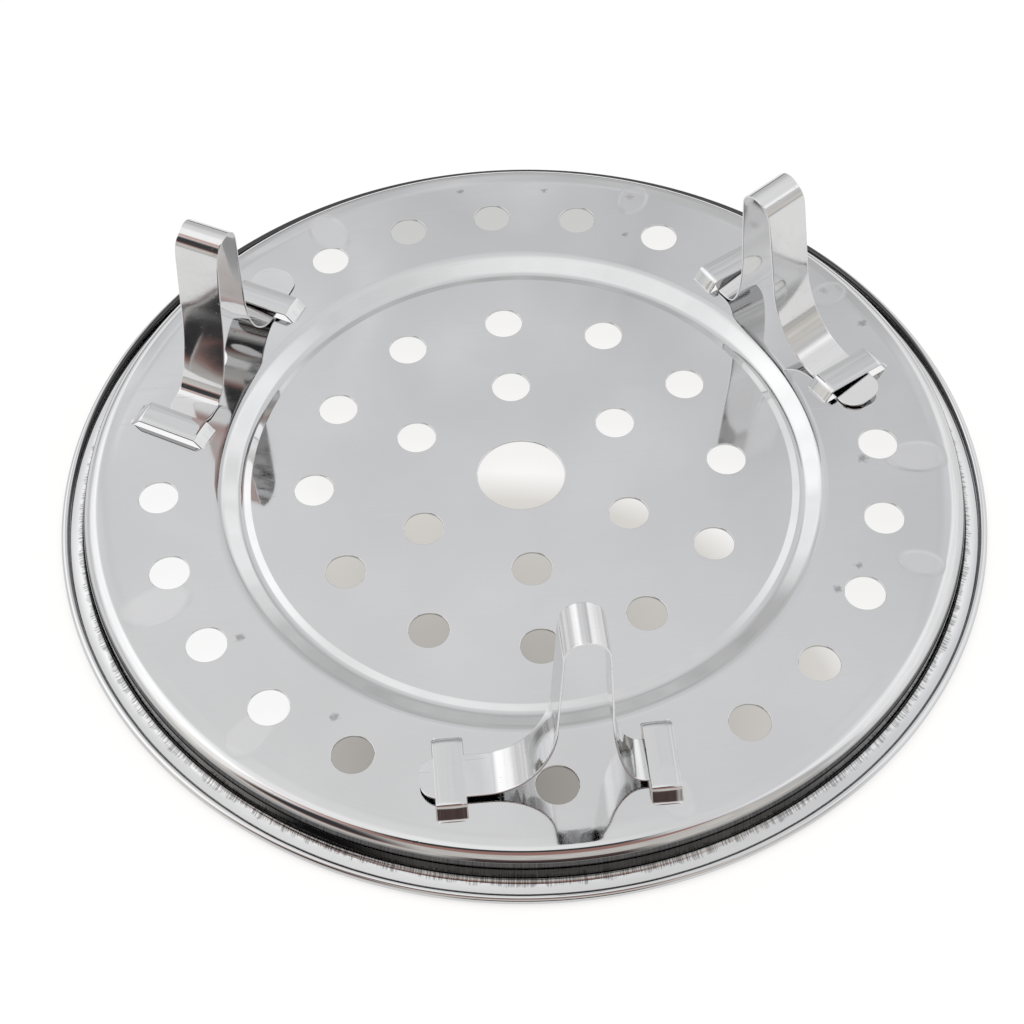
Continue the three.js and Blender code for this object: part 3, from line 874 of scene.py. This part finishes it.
relief = calc(nodes, "MULTIPLY_ADD", rolled, STRIP_GRAIN_HEIGHT, relief)
relief = calc(nodes, "MULTIPLY_ADD", handled["Scratch"], -STRIP_SCRATCH_DEPTH, relief)
bump = add(nodes, "ShaderNodeBump", {"Strength": 1.0, "Distance": 1.0, "Height": relief})
nodes.links.new(bump.outputs[0], shader.inputs["Normal"])

# Each leg's bearing, and how it sits: slid towards its short foot, shifted inwards, turned, and leaning
# inwards. All in millimetres and degrees.
leg_seats = (
    ("front_leg", -90, 6.3, 0, 0.4, 5.6),
    ("right_leg", 30, 3.2, 2.2, 1.1, 7.2),
    ("left_leg", 150, 1.2, 0.6, 3.6, 2.9),
)
for leg_name, bearing_deg, slide, shift_in, turn_deg, lean_deg in leg_seats:
    leg = grown(
        leg_name + "_strip", leg_path.copy(), strip_tree, {"Edge section": leg_edge, "Steel": leg_steel}
    )
    lean = math.radians(lean_deg)
    seat_height = BAND_TOP + SEAT_GAP + STRIP_HALF * math.sin(lean)
    leg.data.transform(
        Matrix.Rotation(math.radians(bearing_deg), 4, "Z")
        @ Matrix.Translation((LEG_LINE - shift_in * MM, 0, seat_height))
        @ Matrix.Rotation(math.radians(turn_deg), 4, "Z")
        @ Matrix.Translation((0, slide * MM, 0))
        @ Matrix.Rotation(-lean, 4, "Y")
    )
    shade(leg.data)
    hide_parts(leg_name)
    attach(leg, leg_name)
for tool in (strap_edge, leg_edge):
    bpy.data.objects.remove(tool)

# Studio
# A pale floor under the rack, a soft bright surround that is darker behind the camera, and the camera
# where the photograph was taken from.


def banded(tree, value, first, stops):
    """Tones along a value, from its first tone at zero."""
    band = add(tree, "ShaderNodeValToRGB", {0: value})
    band.color_ramp.elements.remove(band.color_ramp.elements[0])
    band.color_ramp.elements[0].position = 0.0
    band.color_ramp.elements[0].color = (*first, 1)
    for stop, colour in stops:
        band.color_ramp.elements.new(stop).color = (*colour, 1)
    return band.outputs[0]


FLOOR_WHITE = (0.96, 0.955, 0.945)
FLOOR_HALF = 4.0
FLOOR_DROP = 0.05 * MM
floor_mesh = bpy.data.meshes.new("floor")
floor_signs = ((-1, -1), (1, -1), (1, 1), (-1, 1))
floor_corners = [(x * FLOOR_HALF, y * FLOOR_HALF, -FLOOR_DROP) for x, y in floor_signs]
floor_mesh.from_pydata(floor_corners, [], [(0, 1, 2, 3)])
floor = bpy.data.objects.new("floor", floor_mesh)
bpy.context.scene.collection.objects.link(floor)
floor_paint = bpy.data.materials.new("floor_paint")
floor_paint.use_nodes = True
nodes = floor_paint.node_tree
nodes.nodes.clear()
rays = add(nodes, "ShaderNodeLightPath").outputs
seen = calc(nodes, "MAXIMUM", rays["Is Camera Ray"], rays["Is Glossy Ray"])
seen = calc(nodes, "MAXIMUM", seen, rays["Is Transmission Ray"])

# Through the holes the floor under the plate shows white, but for a warm shade below the plate's front and
# a lighter one below its back. Round the rack the floor takes its shadow, and far away it is plain white.
SHADE_MIDDLE = (-15 * MM, -89 * MM, 0)
SHADE_REACH = 97 * MM
SHADE_DARK = (0.31, 0.293, 0.27)
SHADE_PALE = (0.7, 0.68, 0.65)
BACK_SHADE = (0.64, 0.64, 0.625)
NEAR_GLOW = 0.68
UNDER_GLOW = 0.22
floor_place = add(nodes, "ShaderNodeTexCoord").outputs["Object"]
floor_xyz = add(nodes, "ShaderNodeSeparateXYZ", {0: floor_place}).outputs
from_centre = vector(nodes, "LENGTH", floor_place)
under = ranged(nodes, from_centre, 106 * MM, 109 * MM, 1.0, 0.0)
in_shade = calc(nodes, "MULTIPLY", under, ranged(nodes, floor_xyz[0], -62 * MM, -52 * MM, 0.0, 1.0))
from_front = calc(nodes, "DIVIDE", vector(nodes, "DISTANCE", floor_place, SHADE_MIDDLE), SHADE_REACH)
shade_stops = ((0.12, SHADE_DARK), (0.9, SHADE_PALE), (1.0, FLOOR_WHITE))
shade_tone = banded(nodes, from_front, SHADE_DARK, shade_stops)
in_back = ranged(nodes, floor_xyz[1], 76 * MM, 84 * MM, 0.0, 1.0)
in_back = calc(nodes, "MULTIPLY", in_back, between(nodes, floor_xyz[0], -38 * MM, 38 * MM, 6 * MM))
shade_tone = mixed(nodes, in_back, shade_tone, BACK_SHADE)
matt_colour = mixed(nodes, in_shade, FLOOR_WHITE, shade_tone)
glow_colour = mixed(nodes, in_shade, (1, 1, 1), shade_tone)
glow_share = ranged(nodes, from_centre, 0.3, 0.8, NEAR_GLOW, 1.0)
glow_share = calc(nodes, "MULTIPLY", seen, calc(nodes, "MULTIPLY_ADD", under, UNDER_GLOW, glow_share))
matt = add(nodes, "ShaderNodeBsdfDiffuse", {"Color": matt_colour}).outputs[0]
glow = add(nodes, "ShaderNodeEmission", {"Color": glow_colour, "Strength": 1.0}).outputs[0]
floor_mix = add(nodes, "ShaderNodeMixShader", {0: glow_share, 1: matt, 2: glow}).outputs[0]
surface = add(nodes, "ShaderNodeOutputMaterial")
nodes.links.new(floor_mix, surface.inputs["Surface"])
floor_mesh.materials.append(floor_paint)

world = bpy.data.worlds.new("surround")
world.use_nodes = True
bpy.context.scene.world = world
nodes = world.node_tree
nodes.nodes.clear()
way = add(nodes, "ShaderNodeTexCoord").outputs["Generated"]
way_xyz = add(nodes, "ShaderNodeSeparateXYZ", {0: way}).outputs
tilted = calc(nodes, "MULTIPLY_ADD", way_xyz[0], -0.31, way_xyz[2])
tone_stops = (
    (0.22, (0.36, 0.36, 0.36)),
    (0.5, (0.36, 0.36, 0.36)),
    (0.58, (0.4, 0.4, 0.4)),
    (0.64, (0.43, 0.43, 0.435)),
    (0.69, (0.44, 0.44, 0.445)),
    (0.715, (0.455, 0.455, 0.46)),
    (0.735, (0.48, 0.483, 0.49)),
    (0.78, (0.495, 0.495, 0.5)),
    (0.9, (0.515, 0.515, 0.515)),
    (1.0, (0.65, 0.65, 0.65)),
)
tones = banded(nodes, tilted, (0.46, 0.46, 0.46), tone_stops)


def eased(tree, value, low, high, start, end):
    """A value eased from one level to another."""
    return ranged(tree, value, low, high, start, end, "SMOOTHSTEP")


# The room behind the camera is pale and warm up to a ruddy edge, and darker in its left corner.
# Something dark hangs over the front of the rack.
WARM_PALE = (0.4, 0.385, 0.365)
RUDDY = (0.23, 0.128, 0.11)
SOOT = (0.03, 0.03, 0.032)
ROOM_FOOT = (0.3, 0.29, 0.275)
ROOM_LOW = (0.05, 0.034, 0.032)
room_stops = ((0.25, WARM_PALE), (0.76, WARM_PALE), (0.81, RUDDY), (0.93, RUDDY), (0.97, WARM_PALE))
room = banded(nodes, way_xyz[2], ROOM_FOOT, room_stops)
low = calc(
    nodes,
    "MULTIPLY",
    between(nodes, way_xyz[0], -0.4, 0.4, 0.15),
    eased(nodes, way_xyz[2], 0.3, 0.42, 1.0, 0.0),
)
room = mixed(nodes, low, room, ROOM_LOW)
corner_stops = ((0.28, WARM_PALE), (0.36, RUDDY), (0.44, SOOT), (0.74, SOOT), (0.9, WARM_PALE))
corner = banded(nodes, way_xyz[2], ROOM_FOOT, corner_stops)
in_corner = calc(
    nodes,
    "MULTIPLY",
    eased(nodes, way_xyz[0], -0.55, -0.35, 1.0, 0.0),
    eased(nodes, way_xyz[1], -0.4, -0.25, 1.0, 0.0),
)
room = mixed(nodes, in_corner, room, corner)
facing = calc(nodes, "MULTIPLY_ADD", way_xyz[0], 0.3, way_xyz[1])
tone = mixed(nodes, eased(nodes, facing, -0.32, -0.2, 1.0, 0.0), tones, room)
over = calc(
    nodes,
    "MULTIPLY",
    between(nodes, way_xyz[0], -0.38, 0.28, 0.1),
    between(nodes, way_xyz[1], -0.36, -0.12, 0.05),
)
tone = mixed(nodes, over, tone, SOOT)

# Far behind the rack the horizon is dark, and soft cloudy tones lie above it.
HORIZON_DARK = (0.02, 0.02, 0.02)
SURROUND_LEVEL = 2.0
far = calc(
    nodes,
    "MULTIPLY",
    eased(nodes, way_xyz[1], 0.6, 0.85, 0.0, 1.0),
    eased(nodes, way_xyz[2], 0.08, 0.18, 1.0, 0.0),
)
tone = mixed(nodes, calc(nodes, "MULTIPLY", far, 0.9), tone, HORIZON_DARK)
clouds = {"Vector": way, "Scale": 13.0, "Detail": 2.0, "Distortion": 0.7}
clouds = add(nodes, "ShaderNodeTexNoise", clouds).outputs[0]
cloud_depth = eased(nodes, way_xyz[2], 0.7, 0.8, 1.5, 0.35)
level = calc(nodes, "MULTIPLY_ADD", calc(nodes, "SUBTRACT", clouds, 0.5), cloud_depth, SURROUND_LEVEL)
soft = add(nodes, "ShaderNodeBackground", {"Color": tone, "Strength": level}).outputs[0]

# Bright walls stand on both sides of the rack, brightest at half height.
sides = calc(
    nodes,
    "ADD",
    eased(nodes, way_xyz[0], -0.34, -0.2, 1.0, 0.0),
    eased(nodes, way_xyz[0], 0.28, 0.42, 0.0, 1.0),
)
sides = calc(nodes, "MULTIPLY", sides, eased(nodes, way_xyz[1], -0.4, -0.22, 0.0, 1.0))
sides = calc(nodes, "MULTIPLY", sides, eased(nodes, way_xyz[2], 0.8, 0.92, 0.55, 0.0))
sides = calc(nodes, "MULTIPLY", sides, eased(nodes, way_xyz[2], 0.2, 0.5, 0.35, 1.0))
side_light = add(nodes, "ShaderNodeBackground", {"Color": (1, 1, 1, 1), "Strength": sides}).outputs[0]
soft = add(nodes, "ShaderNodeAddShader", {0: soft, 1: side_light}).outputs[0]
white = add(nodes, "ShaderNodeBackground", {"Color": (1, 1, 1, 1), "Strength": 1.0}).outputs[0]
rays = add(nodes, "ShaderNodeLightPath").outputs
sky = add(nodes, "ShaderNodeMixShader", {0: rays["Is Camera Ray"], 1: soft, 2: white}).outputs[0]
nodes.links.new(sky, add(nodes, "ShaderNodeOutputWorld").inputs["Surface"])

overhead = bpy.data.objects.new("overhead", bpy.data.lights.new("overhead", "AREA"))
bpy.context.scene.collection.objects.link(overhead)
overhead.data.size = 1.5
overhead.data.energy = 5
overhead.location = (0, 0, 1.5)
overhead.visible_glossy = False

camera = bpy.data.objects.new("camera", bpy.data.cameras.new("camera"))
bpy.context.scene.collection.objects.link(camera)
camera.data.sensor_width = 36
camera.data.lens = 70.13
camera.data.clip_start = 0.01
camera.data.clip_end = 50
image_right = Vector((0.99611694, -0.08731183, -0.01130013))
image_up = Vector((0.076014, 0.78818052, 0.6107318))
towards_eye = Vector((-0.04441757, -0.60921926, 0.79175689))
eye_turn = Matrix((image_right, image_up, towards_eye)).transposed().to_4x4()
eye_place = (-25.8 * MM, -319.2 * MM, 406.6 * MM)
camera.matrix_world = Matrix.Translation(eye_place) @ eye_turn
bpy.context.scene.camera = camera
bpy.context.scene.view_settings.view_transform = "Standard"
